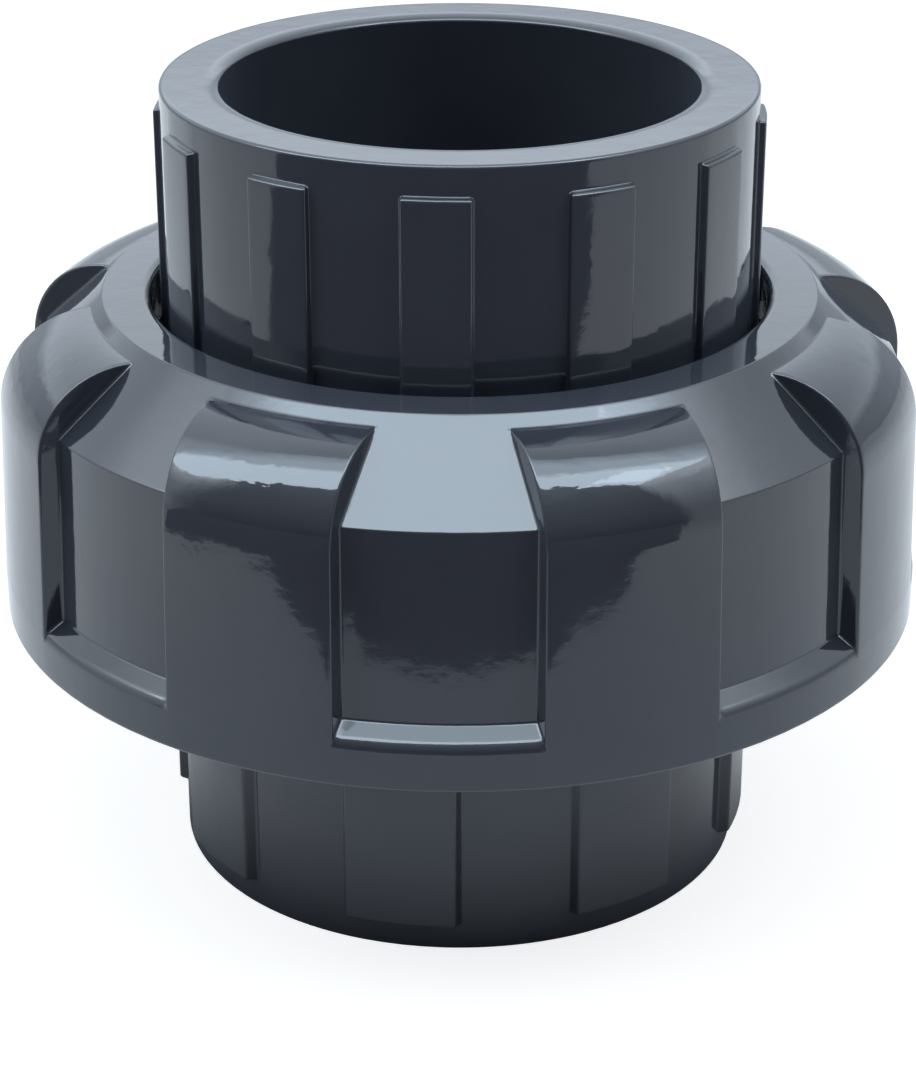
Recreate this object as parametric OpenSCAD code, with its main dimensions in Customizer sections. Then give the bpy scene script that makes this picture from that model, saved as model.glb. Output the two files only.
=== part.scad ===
// Pipe union for solvent-welded pressure pipe.
// Lower end piece with an external thread, upper end piece with a collar, an O-ring between
// their faces, and a lobed nut that pulls the collar down on to the threaded end piece.
// Millimetres. +Z is up, and the origin is the centre of the lower end face.

/* [Sockets] */
// Outside diameter of the pipe that both sockets take
pipe_d = 50; // [44:0.5:56]
// Depth of each socket, from its mouth to the pipe stop
socket_depth = 31; // [24:0.5:38]
// Wall of each socket
socket_wall = 6.25; // [4.5:0.25:8]
// Width of the lead-in chamfer round each socket's mouth
mouth_chamfer = 1.6; // [0.8:0.1:2.4]
// Depth of the same chamfer along the axis
mouth_chamfer_depth = 0.65; // [0.4:0.05:1.5]
// Radius of the outer edge at the upper socket's mouth
upper_mouth_round = 0.4; // [0.2:0.1:1.5]
// Radius of the outer edge at the lower socket's mouth
lower_mouth_round = 0.2; // [0.1:0.1:1.5]
// How far each pipe stop stands in from the socket wall
stop_ledge = 2.5; // [1.5:0.25:4]

/* [Upper end piece] */
// Thickness of the pipe stop, down to the sealing face
stop_thickness = 3.3; // [2.5:0.1:6]
// Thickness of the collar under the nut's lip
collar_thickness = 5.6; // [4:0.1:8]
// Number of narrow grip ribs
upper_rib_count = 12; // [6:1:16]
// Width of each narrow rib
upper_rib_w = 7; // [4:0.25:9]
// Height of the narrow ribs above the socket wall
upper_rib_h = 0.75; // [0.4:0.05:1.2]
// Distance from the mouth down to the top of the narrow ribs
upper_rib_start = 3.1; // [1.5:0.1:8]
// Turn of the narrow ribs about the axis
upper_rib_turn = -4.1; // [-15:0.1:15]

/* [Threaded end piece] */
// Height of the threaded hub, from its underside to the sealing face
hub_h = 19; // [16:0.5:26]
// Distance from the pipe stop up to the underside of the hub
hub_rise = 2; // [1:0.25:4]
// Chamfer on both edges of the hub
hub_chamfer = 0.8; // [0.4:0.1:1.2]
// Number of wide ribs
lower_rib_count = 8; // [4:1:10]
// Width of each wide rib at its top
lower_rib_w = 12; // [6:0.25:14]
// Height of the wide ribs above the socket wall
lower_rib_h = 1.15; // [0.6:0.05:1.8]
// How much each flank of a wide rib spreads towards its foot
lower_rib_draft = 0.35; // [0:0.05:0.8]
// Distance from the mouth up to the end of the wide ribs
lower_rib_start = 3; // [1:0.1:10]
// Turn of the wide ribs about the axis
lower_rib_turn = -11.4; // [-22:0.1:22]

/* [Seal] */
// Thickness of the O-ring before it is squeezed
oring_d = 3.5; // [2.5:0.1:4.5]
// Width of the O-ring's groove
groove_w = 4.4; // [4:0.1:6]
// Depth of the O-ring's groove
groove_depth = 2.8; // [2.2:0.1:3.4]
// Distance from the flow bore to the groove
groove_inset = 4; // [2.5:0.25:6]
// Gap between the two sealing faces when the nut is tight
face_gap = 0.2; // [0.1:0.05:0.4]

/* [Thread] */
// Pitch of the right-hand thread, one start
thread_pitch = 5; // [4:0.25:6]
// Height of the thread on the hub
thread_h = 2; // [1.4:0.1:2.4]
// Width of the thread's crest
thread_crest_w = 1.1; // [0.8:0.1:1.4]
// Widening of each flank for each millimetre of height
flank_slope = 0.4; // [0.2:0.05:0.5]
// Radial gap between the crests and the roots
thread_gap = 0.4; // [0.3:0.05:0.6]
// Gap along the axis between the flanks
flank_gap = 0.45; // [0.35:0.05:0.6]
// Length of plain hub at each end of the thread
thread_margin = 2; // [1.6:0.1:3]

/* [Nut] */
// Gap between the narrow ribs and the bore of the nut's lip
lip_bore_gap = 1; // [0.5:0.1:2]
// How far the collar reaches out under the lip
collar_reach = 5.6; // [4:0.1:8]
// Gap between the collar and the crests of the nut's thread
collar_gap = 0.8; // [0.4:0.1:1.5]
// Gap between the collar and the underside of the lip
lip_seat_gap = 0.2; // [0.1:0.05:0.4]
// Thickness of the lip
lip_thickness = 6.1; // [5:0.1:9]
// Radius of the lip's upper inner edge
lip_round = 0.9; // [0.4:0.1:1.5]
// Width of the flat ring on top of the nut, from the bore to the cone
top_ring_w = 5.1; // [3.5:0.1:5.5]
// Wall of the nut between the thread and the foot of the recess panels
nut_wall = 6.45; // [5:0.05:8]
// Height of the cone between the top ring and the recess panels
cone_h = 8.4; // [6:0.1:10]
// How far the nut reaches below the hub
skirt_drop = 3.65; // [2.5:0.05:6]
// Height of the plain rim at the nut's foot, up to the outer edge of the ledges
rim_h = 4.9; // [3:0.1:8]
// Rounding of the rim's lower edge
rim_round = 0.5; // [0.3:0.1:1.5]
// How far each ledge climbs from its outer edge to the recess panel
ledge_rise = 1.5; // [0.5:0.1:3]
// Rounding of the ledges' outer edge
ledge_round = 1.5; // [0.3:0.1:2]
// Lead-in chamfer inside the nut's foot
skirt_chamfer = 0.8; // [0.4:0.1:1.2]
// Number of lobes, with one recess between each two
lobe_count = 8; // [6:1:9]
// Width of each lobe at the rim
lobe_w = 18.5; // [12:0.1:20]
// How much a lobe narrows from the rim to its top
lobe_taper = 0.6; // [0:0.1:1.5]
// How far the lobes stand out from the recess panels
lobe_h = 2.15; // [1.5:0.05:4]
// How far a lobe's face leans in over its height. The recess panels lean at the same slope
lobe_lean = 0.6; // [0:0.1:1.2]
// Radius of the lobe's shoulder
shoulder_r = 9.75; // [7:0.25:11]
// Depth of the lobes' tops below the top ring
lobe_top_drop = 1.15; // [0.8:0.05:2]
// Turn of the recesses about the axis
recess_turn = -2.4; // [-22:0.1:22]

/* [Hidden] */
$fn = 96;
pvc_grey = [0.24, 0.26, 0.30];
rubber_black = [0.06, 0.06, 0.07];
// Angle of the side that faces the viewer, from +X
front_angle = -90;
// Flat sides of the thread in one turn
thread_sides = 48;
// Part of a turn over which each end of the thread fades, and the share of its height left there
fade_turns = 0.12;
fade_share = 0.3;
// How far one shape reaches into another that it is joined to
sink = 0.5;
// How far a cutting shape runs past what it cuts
over = 1;

// Radii, from the bore outwards
socket_r = pipe_d / 2;
flow_r = socket_r - stop_ledge;
wall_r = socket_r + socket_wall;
upper_rib_r = wall_r + upper_rib_h;
lower_rib_r = wall_r + lower_rib_h;
lip_r = upper_rib_r + lip_bore_gap;
collar_r = lip_r + collar_reach;
nut_crest_r = collar_r + collar_gap;
hub_r = nut_crest_r - thread_gap;
hub_crest_r = hub_r + thread_h;
nut_root_r = hub_crest_r + thread_gap;
panel_r = nut_root_r + nut_wall;
rim_r = panel_r + lobe_h;
top_ring_r = lip_r + top_ring_w;
groove_in_r = flow_r + groove_inset;
groove_mid_r = groove_in_r + groove_w / 2;

// Levels, from the lower end face upwards
hub_z0 = socket_depth + hub_rise;
seal_z = hub_z0 + hub_h;
collar_z0 = seal_z + face_gap;
collar_z1 = collar_z0 + collar_thickness;
upper_floor_z = collar_z0 + stop_thickness;
top_z = upper_floor_z + socket_depth;
nut_z0 = hub_z0 - skirt_drop;
lip_z0 = collar_z1 + lip_seat_gap;
nut_z1 = lip_z0 + lip_thickness;
ledge_z = nut_z0 + rim_h;
cone_z0 = nut_z1 - cone_h;
lobe_top_z = nut_z1 - lobe_top_drop;
shoulder_z = lobe_top_z - shoulder_r;

// Recess panels and ledges: each panel leans with the lobes' faces, and each ledge slopes up to it
lean_slope = lobe_lean / (shoulder_z - ledge_z);
panel_foot_z = ledge_z + ledge_rise;
panel_top_r = panel_r - lean_slope * (cone_z0 - panel_foot_z);
ledge_turn = atan2(lobe_h, ledge_rise);
ledge_round_r = rim_r - ledge_round;
ledge_round_z = ledge_z - ledge_round * tan(ledge_turn / 2);
ledge_edge = [ledge_round_r + ledge_round * cos(ledge_turn), ledge_round_z + ledge_round * sin(ledge_turn)];
lobe_foot_z = ledge_round_z - sink;

// Thread: half widths of the two ridges follow from the pitch, the slope and the gaps
male_root_half = thread_crest_w / 2 + thread_h * flank_slope;
nut_thread_h = nut_root_r - nut_crest_r;
nut_crest_half = thread_pitch / 2 - flank_gap - thread_crest_w / 2
    - (hub_crest_r - nut_crest_r) * flank_slope;
nut_root_half = nut_crest_half + nut_thread_h * flank_slope;
male_z0 = hub_z0 + thread_margin;
male_z1 = seal_z - thread_margin;
nut_thread_z0 = nut_z0 + skirt_chamfer + nut_root_half + sink;
nut_thread_z1 = collar_z0 - nut_root_half;
nut_step_z = collar_z0 + sink;

// Places the children count times round the axis, starting at the side that faces the viewer
module around(count, turn) {
    for (i = [0 : count - 1])
        rotate([0, 0, front_angle + turn + i * 360 / count]) children();
}

// Thread ridge: one closed solid swept along a right-hand helix.
// crest > root gives an external ridge, crest < root an internal one. half widths are along Z.
// z_ref is the helix's height at angle zero, and z_a to z_b is the stretch that the ridge covers.
module helix_ridge(root, crest, root_half, crest_half, z_ref, z_a, z_b) {
    outward = crest > root ? 1 : -1;
    first_turn = (z_a - z_ref) / thread_pitch;
    turns = (z_b - z_a) / thread_pitch;
    rings = ceil(turns * thread_sides) + 1;
    buried = root - outward * sink;
    points = [for (i = [0 : rings - 1])
        let (t = turns * i / (rings - 1),
             angle = 360 * (first_turn + t),
             z = z_a + thread_pitch * t,
             rise = min(1, t / fade_turns, (turns - t) / fade_turns),
             tip = buried + (crest - buried) * (fade_share + (1 - fade_share) * rise))
        for (corner = [[buried, -root_half], [tip, -crest_half], [tip, crest_half], [buried, root_half]])
            [corner[0] * cos(angle), corner[0] * sin(angle), z + corner[1]]];
    sides = [for (i = [0 : rings - 2]) for (k = [0 : 3])
        let (a = 4 * i + k, b = 4 * i + (k + 1) % 4)
        for (face = [[a, b, b + 4], [a, b + 4, a + 4]])
            outward > 0 ? face : [face[2], face[1], face[0]]];
    last = 4 * (rings - 1);
    ends = [for (face = [[2, 1, 0], [3, 2, 0], [last, last + 1, last + 2], [last, last + 2, last + 3]])
        outward > 0 ? face : [face[2], face[1], face[0]]];
    polyhedron(points = points, faces = concat(sides, ends));
}

// Lower end piece
module body_ring() {
    rotate_extrude() difference() {
        union() {
            translate([flow_r, lower_mouth_round]) square([wall_r - flow_r, seal_z - lower_mouth_round]);
            translate([flow_r, 0]) square([wall_r - lower_mouth_round - flow_r, seal_z]);
            translate([wall_r - lower_mouth_round, lower_mouth_round]) circle(lower_mouth_round);
            polygon([[flow_r, hub_z0], [hub_r - hub_chamfer, hub_z0], [hub_r, hub_z0 + hub_chamfer],
                     [hub_r, seal_z - hub_chamfer], [hub_r - hub_chamfer, seal_z], [flow_r, seal_z]]);
        }
        translate([0, -over]) square([socket_r, socket_depth + over]);
        polygon([[0, -over], [socket_r + mouth_chamfer, -over], [socket_r + mouth_chamfer, 0],
                 [socket_r, mouth_chamfer_depth], [0, mouth_chamfer_depth]]);
        translate([groove_in_r, seal_z - groove_depth]) square([groove_w, groove_depth + over]);
    }
}

module wide_rib() {
    foot = lower_rib_w / 2 + lower_rib_draft;
    tip = lower_rib_w / 2;
    intersection() {
        translate([0, 0, lower_rib_start])
            linear_extrude(hub_z0 + sink - lower_rib_start)
                polygon([[wall_r - over, -foot - lower_rib_draft], [wall_r, -foot],
                         [lower_rib_r + over, -tip], [lower_rib_r + over, tip],
                         [wall_r, foot], [wall_r - over, foot + lower_rib_draft]]);
        translate([0, 0, lower_rib_start]) cylinder(h = hub_z0, r = lower_rib_r);
    }
}

module threaded_body() {
    color(pvc_grey) {
        body_ring();
        around(lower_rib_count, lower_rib_turn) wide_rib();
        helix_ridge(hub_r, hub_crest_r, male_root_half, thread_crest_w / 2, male_z0, male_z0, male_z1);
    }
}

// Upper end piece
module connector_ring() {
    rotate_extrude() difference() {
        union() {
            translate([flow_r, collar_z0]) square([collar_r - flow_r, collar_thickness]);
            translate([flow_r, collar_z0]) square([wall_r - flow_r, top_z - upper_mouth_round - collar_z0]);
            translate([flow_r, collar_z0]) square([wall_r - upper_mouth_round - flow_r, top_z - collar_z0]);
            translate([wall_r - upper_mouth_round, top_z - upper_mouth_round]) circle(upper_mouth_round);
        }
        translate([0, upper_floor_z]) square([socket_r, socket_depth + over]);
        polygon([[0, top_z - mouth_chamfer_depth], [socket_r, top_z - mouth_chamfer_depth],
                 [socket_r + mouth_chamfer, top_z], [socket_r + mouth_chamfer, top_z + over],
                 [0, top_z + over]]);
    }
}

module narrow_rib() {
    rib_top = top_z - upper_rib_start;
    intersection() {
        translate([wall_r - over, -upper_rib_w / 2, collar_z1 - sink])
            cube([upper_rib_h + 2 * over, upper_rib_w, rib_top - collar_z1 + sink]);
        translate([0, 0, collar_z1 - sink]) cylinder(h = top_z - collar_z1, r = upper_rib_r);
    }
}

module end_connector() {
    color(pvc_grey) {
        connector_ring();
        around(upper_rib_count, upper_rib_turn) narrow_rib();
    }
}

// Nut: a turned body with a cone, recess panels and a rim, and lobes that stand out of it
module nut_core() {
    rotate_extrude() union() {
        difference() {
            polygon([[nut_crest_r, nut_z0], [rim_r - rim_round, nut_z0],
                     [rim_r - rim_round, nut_z0 + rim_round], [rim_r, nut_z0 + rim_round],
                     [rim_r, ledge_round_z], ledge_edge, [panel_r, panel_foot_z], [panel_top_r, cone_z0],
                     [top_ring_r, nut_z1], [lip_r + lip_round, nut_z1],
                     [lip_r + lip_round, nut_z1 - lip_round], [lip_r, nut_z1 - lip_round],
                     [lip_r, lip_z0], [nut_crest_r, lip_z0]]);
            polygon([[0, nut_z0 - over], [nut_root_r + skirt_chamfer, nut_z0 - over],
                     [nut_root_r + skirt_chamfer, nut_z0], [nut_root_r, nut_z0 + skirt_chamfer],
                     [nut_root_r, nut_step_z], [nut_crest_r, nut_step_z + nut_thread_h],
                     [0, nut_step_z + nut_thread_h]]);
        }
        translate([rim_r - rim_round, nut_z0 + rim_round]) circle(rim_round);
        translate([ledge_round_r, ledge_round_z]) circle(ledge_round);
        translate([lip_r + lip_round, nut_z1 - lip_round]) circle(lip_round);
    }
}

// Section of a lobe in the r-z half plane: a leaning face that turns over a round shoulder
module lobe_section() {
    face_r = rim_r - lobe_lean;
    inner_r = panel_top_r - sink;
    intersection() {
        union() {
            translate([face_r - shoulder_r, shoulder_z]) circle(shoulder_r);
            polygon([[inner_r, lobe_foot_z], [rim_r, lobe_foot_z], [rim_r, ledge_z],
                     [face_r, shoulder_z], [inner_r, shoulder_z]]);
            translate([top_ring_r, shoulder_z]) square([face_r - shoulder_r - top_ring_r, shoulder_r]);
        }
        polygon([[inner_r, lobe_foot_z], [rim_r + over, lobe_foot_z], [rim_r + over, nut_z1],
                 [top_ring_r, nut_z1], [top_ring_r, cone_z0 + cone_h / 2], [inner_r, cone_z0 - sink]]);
    }
}

// Parallel-sided block that cuts one lobe out of the turned lobe section
module lobe_block() {
    foot = lobe_w / 2;
    tip = (lobe_w - lobe_taper) / 2;
    rotate([90, 0, 90]) linear_extrude(rim_r + over)
        polygon([[-foot, lobe_foot_z - over], [foot, lobe_foot_z - over],
                 [tip, nut_z1 + over], [-tip, nut_z1 + over]]);
}

module union_nut() {
    color(pvc_grey) {
        nut_core();
        intersection() {
            rotate_extrude() lobe_section();
            around(lobe_count, recess_turn + 180 / lobe_count) lobe_block();
        }
        helix_ridge(nut_root_r, nut_crest_r, nut_root_half, nut_crest_half,
                    male_z0 + thread_pitch / 2, nut_thread_z0, nut_thread_z1);
    }
}

// O-ring: its round section is squeezed flat between the groove's floor and the collar
module o_ring() {
    squeezed_h = groove_depth + face_gap;
    color(rubber_black) rotate_extrude() intersection() {
        translate([groove_mid_r, seal_z - groove_depth + squeezed_h / 2]) circle(oring_d / 2);
        translate([groove_in_r, seal_z - groove_depth]) square([groove_w, squeezed_h]);
    }
}

threaded_body();
end_connector();
union_nut();
o_ring();
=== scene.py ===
# PVC pipe union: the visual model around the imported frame.
# Lengths in the shape functions are millimetres and become metres in make_piece.
# Angles are measured from the side that faces the viewer (-Y) towards +X.

import math

import bmesh
import bpy
import numpy as np
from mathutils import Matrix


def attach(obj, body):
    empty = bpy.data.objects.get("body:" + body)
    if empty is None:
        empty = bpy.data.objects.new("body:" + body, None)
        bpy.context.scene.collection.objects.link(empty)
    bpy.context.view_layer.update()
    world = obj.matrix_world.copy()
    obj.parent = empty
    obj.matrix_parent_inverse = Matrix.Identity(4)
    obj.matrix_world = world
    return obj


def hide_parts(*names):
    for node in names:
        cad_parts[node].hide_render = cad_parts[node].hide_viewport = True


MM = 0.001
# Distances in metres within which mesh points are one point
MERGE_DIST, DISSOLVE_DIST = 2e-7, 1e-7
# Depth in millimetres below which a lobe isn't proud of its recess, and the least divisor
NO_DEPTH, TINY = 1e-6, 1e-9

# Camera, measured from the photograph
CAMERA_PLACE = (0.0, -0.2976, 0.169)
CAMERA_DOWN_DEG = 24.47
CAMERA_LENS = 97.82
CAMERA_SHIFT_X = -0.0017

# Bores and walls that the two end pieces share
SOCKET_R, FLOW_R, WALL_R = 25.0, 22.5, 31.25
MOUTH_R, MOUTH_DEPTH, UPPER_MOUTH_ROUND, LOWER_MOUTH_ROUND = 26.6, 0.65, 0.4, 0.2
STOP_ROUND = 0.3
# Small rounded corners: how far their ends, and their middle point, stand off the corner
CORNER_CUT, CORNER_EASE = 0.2, 0.06

# Threaded end piece
LOWER_FLOOR_Z, HUB_Z0, SEAL_Z = 31.0, 33.0, 52.0
HUB_R = 39.0
# Chamfer at the hub's ends: distances in from its radius, and along the axis from its end face
HUB_EDGE = [(0.9, 0.0), (0.8, 0.03), (0.05, 0.72), (0.0, 0.85)]
GROOVE_IN_R, GROOVE_OUT_R, GROOVE_Z, GROOVE_EDGE = 26.5, 30.9, 49.2, 0.15
WIDE_RIBS, WIDE_RIB_TURN, WIDE_RIB_HALF, WIDE_RIB_H, WIDE_RIB_Z = 8, -11.4, 6.0, 1.15, 3.0
WIDE_RIB_CORNER = 0.5

# Upper end piece
COLLAR_Z0, UPPER_FLOOR_Z, COLLAR_Z1, TOP_Z = 52.2, 55.5, 57.8, 86.5
COLLAR_R, COLLAR_ROUND = 38.6, 0.3
NARROW_RIBS, NARROW_RIB_TURN, NARROW_RIB_HALF, NARROW_RIB_H, NARROW_RIB_Z = 12, -4.1, 3.5, 0.75, 83.4
NARROW_RIB_CORNER = 0.35

# Nut
NUT_Z0, LEDGE_Z, PANEL_Z0, SHOULDER_Z = 29.35, 34.25, 35.75, 53.2
CONE_Z0, LIP_Z0, NUT_Z1 = 55.7, 58.0, 64.1
LIP_R, TOP_RING_R, NUT_CREST_R, NUT_ROOT_R, RIM_R = 33.0, 38.1, 39.4, 41.4, 50.0
LIP_FOOT_ROUND = 0.3
PANEL_R, PANEL_TOP_R, LEDGE_ROUND = 47.85, 47.22, 1.5
LOBE_FACE_R, SHOULDER_R, LOBE_TOP_Z = 49.4, 9.75, 62.95
LOBES, LOBE_TURN, LOBE_HALF, LOBE_TAPER, LOBE_FOOT_Z = 8, 20.1, 9.25, 0.00905, 31.97

# Thread, right-handed, one start. Each ridge is a list of offsets along the axis with its height there
PITCH = 5.0
MALE_RIDGE = [(-1.50, 0.0), (-1.35, 0.03), (-1.25, 0.16), (-0.68, 1.80), (-0.58, 1.95), (-0.42, 2.0),
              (0.42, 2.0), (0.58, 1.95), (0.68, 1.80), (1.25, 0.16), (1.35, 0.03), (1.50, 0.0)]
FEMALE_RIDGE = [(-1.82, 0.0), (-1.68, 0.03), (-1.57, 0.16), (-0.99, 1.80), (-0.88, 1.95), (-0.72, 2.0),
                (0.72, 2.0), (0.88, 1.95), (0.99, 1.80), (1.57, 0.16), (1.68, 0.03), (1.82, 0.0)]
THREAD_FADE_TURNS = 0.12
# Height of a ridge's middle at angle zero, and between which heights the ridge is full
MALE_Z, MALE_FROM_Z, MALE_TO_Z = 35.0, 35.0, 50.0
FEMALE_Z, FEMALE_FROM_Z, FEMALE_TO_Z = 37.5, 32.31, 50.54
# The nut's threaded bore
BORE_Z0, BORE_Z1 = 30.30, 52.6


def arc(cx, cz, radius, start_deg, end_deg, steps):
    """Points of an arc in the r-z half plane, both ends included."""
    turns = np.radians(np.linspace(start_deg, end_deg, steps + 1))
    return [(cx + radius * math.cos(a), cz + radius * math.sin(a)) for a in turns]


def line(start, end, shares):
    """Points on a straight line at the given shares of its length."""
    return [(start[0] + (end[0] - start[0]) * s, start[1] + (end[1] - start[1]) * s) for s in shares]


def place(radius, z, angle):
    """Point at a radius, a height and an angle in radians from the viewer's side."""
    return (radius * math.sin(angle), -radius * math.cos(angle), z)


def grid_mesh(name, grids):
    """One closed mesh from grids of points (rows x columns x 3). Neighbouring grids share their edges."""
    points, faces, start = [], [], 0
    for grid in grids:
        rows, cols = grid.shape[:2]
        index = start + np.arange(rows * cols).reshape(rows, cols)
        quads = np.stack([index[:-1, :-1], index[:-1, 1:], index[1:, 1:], index[1:, :-1]], axis=-1)
        faces.extend(quads.reshape(-1, 4).tolist())
        points.append(grid.reshape(-1, 3))
        start += rows * cols
    mesh = bpy.data.meshes.new(name)
    mesh.from_pydata((np.concatenate(points) * MM).tolist(), [], faces)
    work = bmesh.new()
    work.from_mesh(mesh)
    bmesh.ops.remove_doubles(work, verts=work.verts, dist=MERGE_DIST)
    bmesh.ops.dissolve_degenerate(work, edges=work.edges, dist=DISSOLVE_DIST)
    bmesh.ops.recalc_face_normals(work, faces=work.faces)
    open_edges = sum(1 for e in work.edges if not e.is_manifold)
    print(name, "vertices", len(work.verts), "faces", len(work.faces), "open edges", open_edges)
    work.to_mesh(mesh)
    work.free()
    mesh.shade_smooth()
    return mesh


def make_piece(name, grids, node, body, material):
    """Adds a piece that stands for a CAD node and rides on its body."""
    piece = bpy.data.objects.new(name, grid_mesh(name, grids))
    bpy.context.scene.collection.objects.link(piece)
    piece.data.materials.append(material)
    normals = piece.modifiers.new("even_normals", "WEIGHTED_NORMAL")
    normals.keep_sharp = False
    normals.weight = 60
    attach(piece, body)
    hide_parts(node)
    return piece


def thread_band(angles, radius, outward, ridge, z_centre, z_a, z_b, ridge_a, ridge_b):
    """Grid of a threaded band. Its rows climb with the helix and are cut off level at z_a and z_b."""
    turn = 2 * math.pi
    first = math.floor((z_a - z_centre) / PITCH) - 2
    last = math.ceil((z_b - z_centre) / PITCH) + 1
    knots = [(z_centre + PITCH * k, w, h) for k in range(first, last + 1) for w, h in ridge]
    columns = []
    for angle in list(angles) + [angles[0] + turn]:
        # The record's angle zero is +X, a quarter turn on from the viewer's side
        climb = PITCH * ((angle - math.pi / 2) / turn)
        column = []
        for centre, offset, height in knots:
            mid = centre + climb
            z = min(max(mid + offset, z_a), z_b)
            turns_in = min(mid - ridge_a, ridge_b - mid) / PITCH
            rise = min(max(turns_in / THREAD_FADE_TURNS, 0.0), 1.0)
            inside = z_a < z < z_b
            column.append(place(radius + outward * height * rise * inside, z, angle))
        columns.append(column)
    return np.array(columns).transpose(1, 0, 2)


def ring_grid(profile, angles):
    """Grid of a profile turned about the axis, closed round."""
    columns = [[place(r, z, a) for r, z in profile] for a in list(angles) + [angles[0] + 2 * math.pi]]
    return np.array(columns).transpose(1, 0, 2)


# Ribbed walls: each flank is a list of offsets from the edge of the rib's top, with the share of its height
WIDE_FLANK = [(-0.60, 1.0), (-0.24, 1.0), (-0.13, 0.975), (-0.03, 0.90), (0.05, 0.78), (0.30, 0.14),
              (0.37, 0.045), (0.48, 0.0), (0.70, 0.0)]
NARROW_FLANK = [(-0.50, 1.0), (-0.22, 1.0), (-0.13, 0.965), (-0.06, 0.87), (-0.01, 0.70), (0.03, 0.20),
                (0.08, 0.06), (0.16, 0.0), (0.40, 0.0)]
# How far in from its edge a rib's top has its outermost column
RIB_TOP_INSET = 0.6
# A rib's end: depths into the rib with the share of its height there, and the rows of points
RIB_END = [(-0.12, 0.0), (-0.04, 0.06), (0.02, 0.22), (0.12, 0.76), (0.20, 0.90), (0.30, 0.975), (0.42, 1.0)]
RIB_END_STEPS = [-0.30, -0.12, -0.04, 0.02, 0.07, 0.12, 0.20, 0.30, 0.42, 0.6, 0.8]


def rib_columns(count, turn_deg, half, flank, top_shares, gap_steps):
    """Columns round a ribbed wall: (middle angle of the rib, side, offset from its edge, share of height).
    A column between two ribs has no side, and its offset is its share of the way between them."""
    columns = []
    for i in range(count):
        middle = math.radians(turn_deg + 360.0 * i / count)
        columns += [(middle, -1, offset, share) for offset, share in reversed(flank)]
        columns += [(middle, s, None, 1.0) for s in top_shares]
        columns += [(middle, 1, offset, share) for offset, share in flank]
        columns += [(middle, 0, (k + 1) / (gap_steps + 1), 0.0) for k in range(gap_steps)]
    return columns


def rib_point(column, radius, z, half, height, share_here, inset, count, foot):
    """Point of a ribbed wall. share_here fades the rib out at its end, inset pulls its edges in there."""
    middle, side, offset, share = column
    if offset is None:
        t = side * (half - RIB_TOP_INSET - inset)
    elif side == 0:
        edge = math.asin((half + foot) / radius)
        span = 2 * math.pi / count - 2 * edge
        return place(radius, z, middle + edge + span * offset)
    else:
        t = side * (half + offset - inset)
    r = radius + height * share * share_here
    return place(r, z, middle + math.asin(t / r))


def rib_end(z, z_end, direction, corner):
    """Share of a rib's height at z, and how far its edges are pulled in, near the rib's end.
    direction is +1 where the rib lies above z_end."""
    depth = (z - z_end) * direction
    share = float(np.interp(depth, *zip(*RIB_END)))
    inside = min(max(depth, 0.0), corner)
    return share, corner - math.sqrt(corner ** 2 - (corner - inside) ** 2)


def column_angles(columns, wall_point, z):
    """Angle of each column round the axis, at a height where the ribs are full."""
    points = [wall_point(column, z) for column in columns]
    return np.unwrap([math.atan2(x, -y) for x, y, _ in points])


def mouth_curve():
    """Rounded lead-in of a socket's mouth: radii, and distances out from its inner edge."""
    turns = np.radians(np.linspace(0, 90, 9))
    return [(MOUTH_R - (MOUTH_R - SOCKET_R) * math.cos(t), MOUTH_DEPTH * math.sin(t)) for t in turns]


def flow_edge(face_z, direction):
    """Rounded end of the flow bore, from a face into the bore. direction is +1 where the bore lies above."""
    return [(FLOW_R + CORNER_CUT, face_z), (FLOW_R + CORNER_EASE, face_z + CORNER_EASE * direction),
            (FLOW_R, face_z + CORNER_CUT * direction)]


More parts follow.
